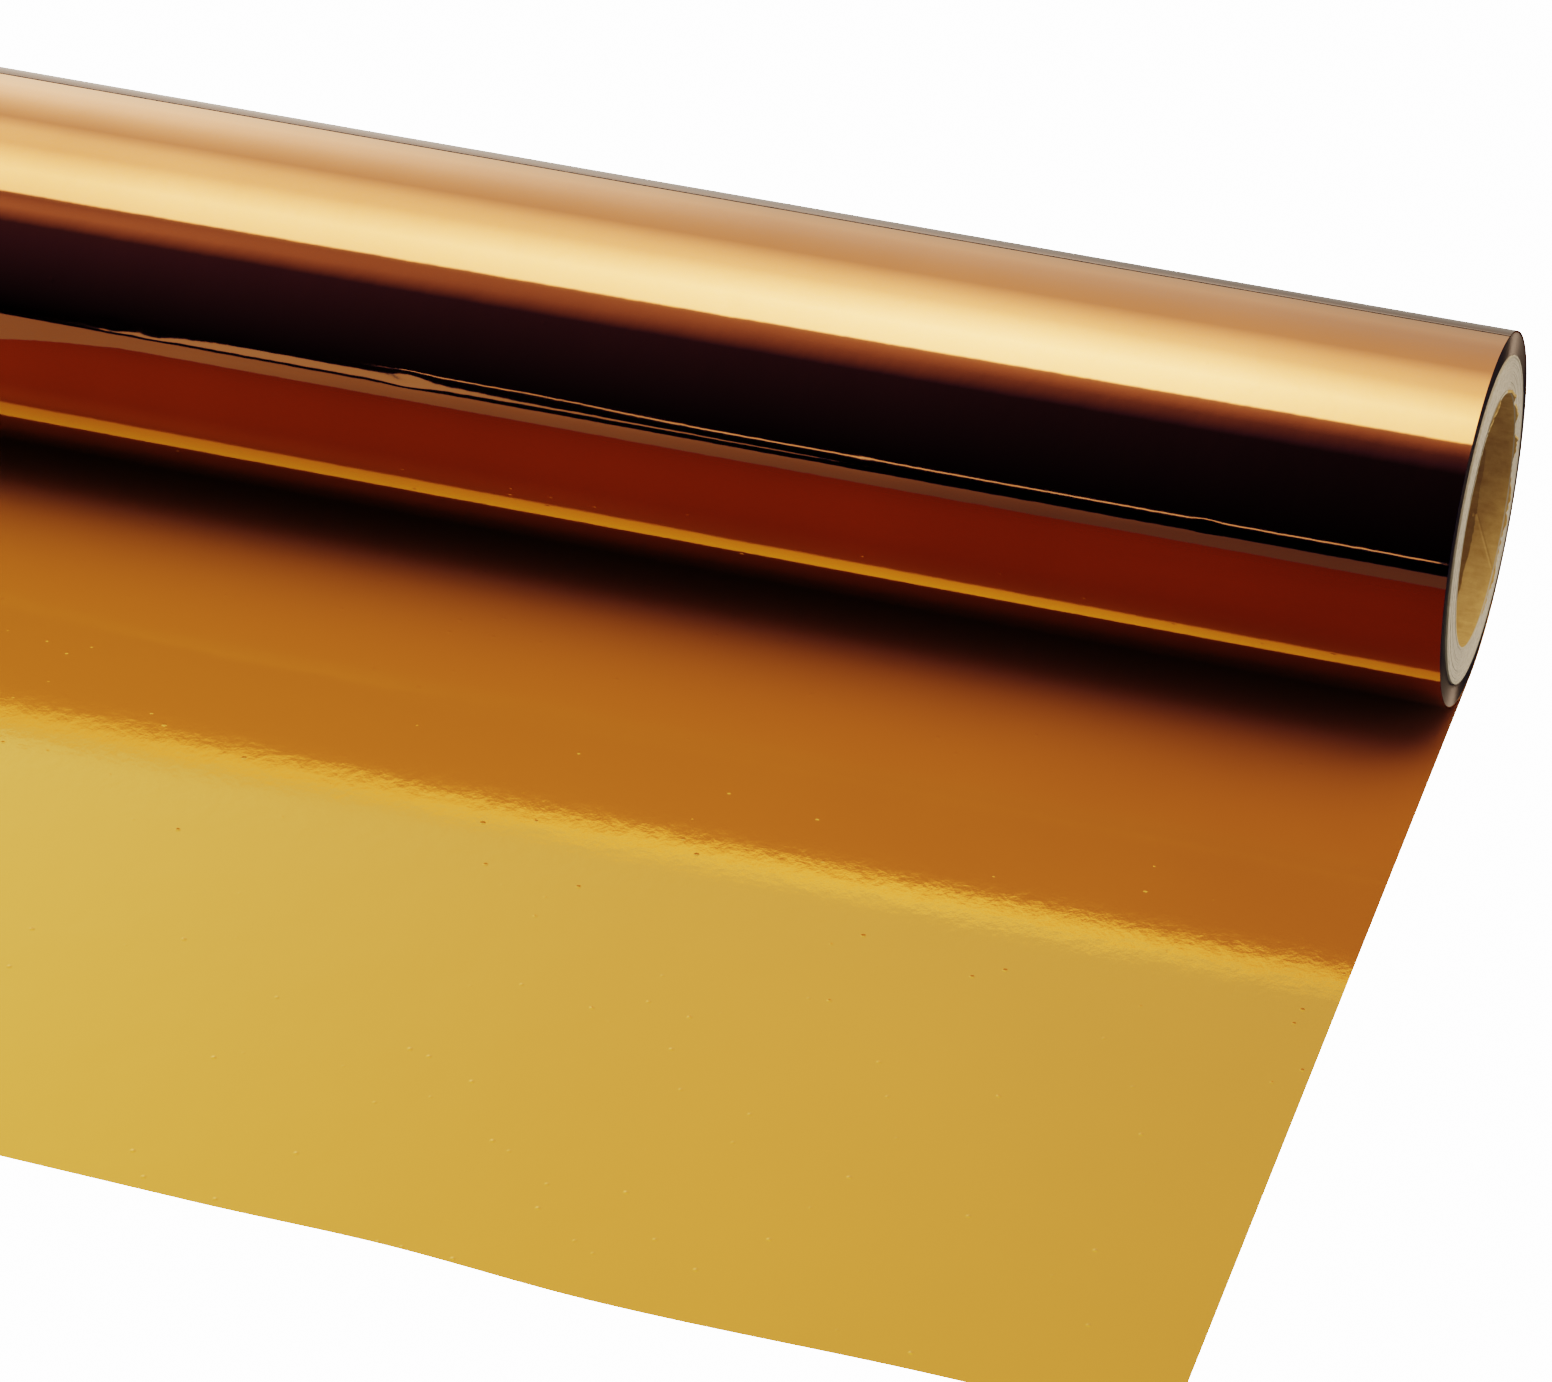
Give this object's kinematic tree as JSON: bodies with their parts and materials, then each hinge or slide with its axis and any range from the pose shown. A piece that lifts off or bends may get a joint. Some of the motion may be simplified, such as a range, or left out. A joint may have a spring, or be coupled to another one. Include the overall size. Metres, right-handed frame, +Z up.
{
  "type": "copper-coloured film tape roll",
  "caption": "Wide roll of glossy copper-coloured adhesive film on a spiral-wound paperboard core, its free web drawn off flat from under the roll.",
  "frame": {"origin": "middle of the core's bore, on its axis", "axes": "+X along the core's axis, +Z up, -Y the way the free web lies from the roll"},
  "size_m": [0.509, 0.4211, 0.1134],
  "materials": {
    "kraft_liner": "brown kraft paper, uncoated",
    "core_board": "grey recycled chipboard, saw-cut at the ends",
    "core_smooth_ply": "smooth calendered paper",
    "wound_film": "slit edges of close-wound film, dark and glossy",
    "film_back": "mirror-gloss copper-coloured film",
    "adhesive": "wet-gloss adhesive with a fine orange-peel skin"
  },
  "bodies": {
    "tail": {"tail_film": "film_back", "tail_adhesive": "adhesive"},
    "wrap": {"wrap_film": "film_back", "wrap_adhesive": "adhesive"},
    "roll": {"core_bore_liner": "kraft_liner", "core_board_ply_01": "core_board", "core_board_ply_02": "core_board", "core_board_ply_03": "core_board", "core_board_ply_04": "core_board", "core_board_ply_05": "core_board", "core_board_ply_06": "core_board", "core_board_ply_07": "core_board", "core_board_ply_08": "core_board", "core_board_ply_09": "core_board", "core_board_ply_10": "core_board", "core_board_ply_11": "core_board", "core_board_ply_12": "core_board", "core_outer_ply": "core_smooth_ply", "wound_web": "wound_film"}
  },
  "joints": [
    {"name": "unroll_travel", "type": "slide", "parent": "tail", "child": "wrap", "axis": [0, 1, 0], "range_m": [-0.22, 0.355], "deforming": ["tail_film", "tail_adhesive"]},
    {"name": "roll_turn", "type": "hinge", "parent": "wrap", "child": "roll", "pos_m": [0, 0, 0], "axis": [1, 0, 0], "range_deg": [-360, 225]}
  ],
  "couplings": [
    {"joint": "roll_turn", "follows": "unroll_travel", "rad_per_m": -17.652}
  ]
}
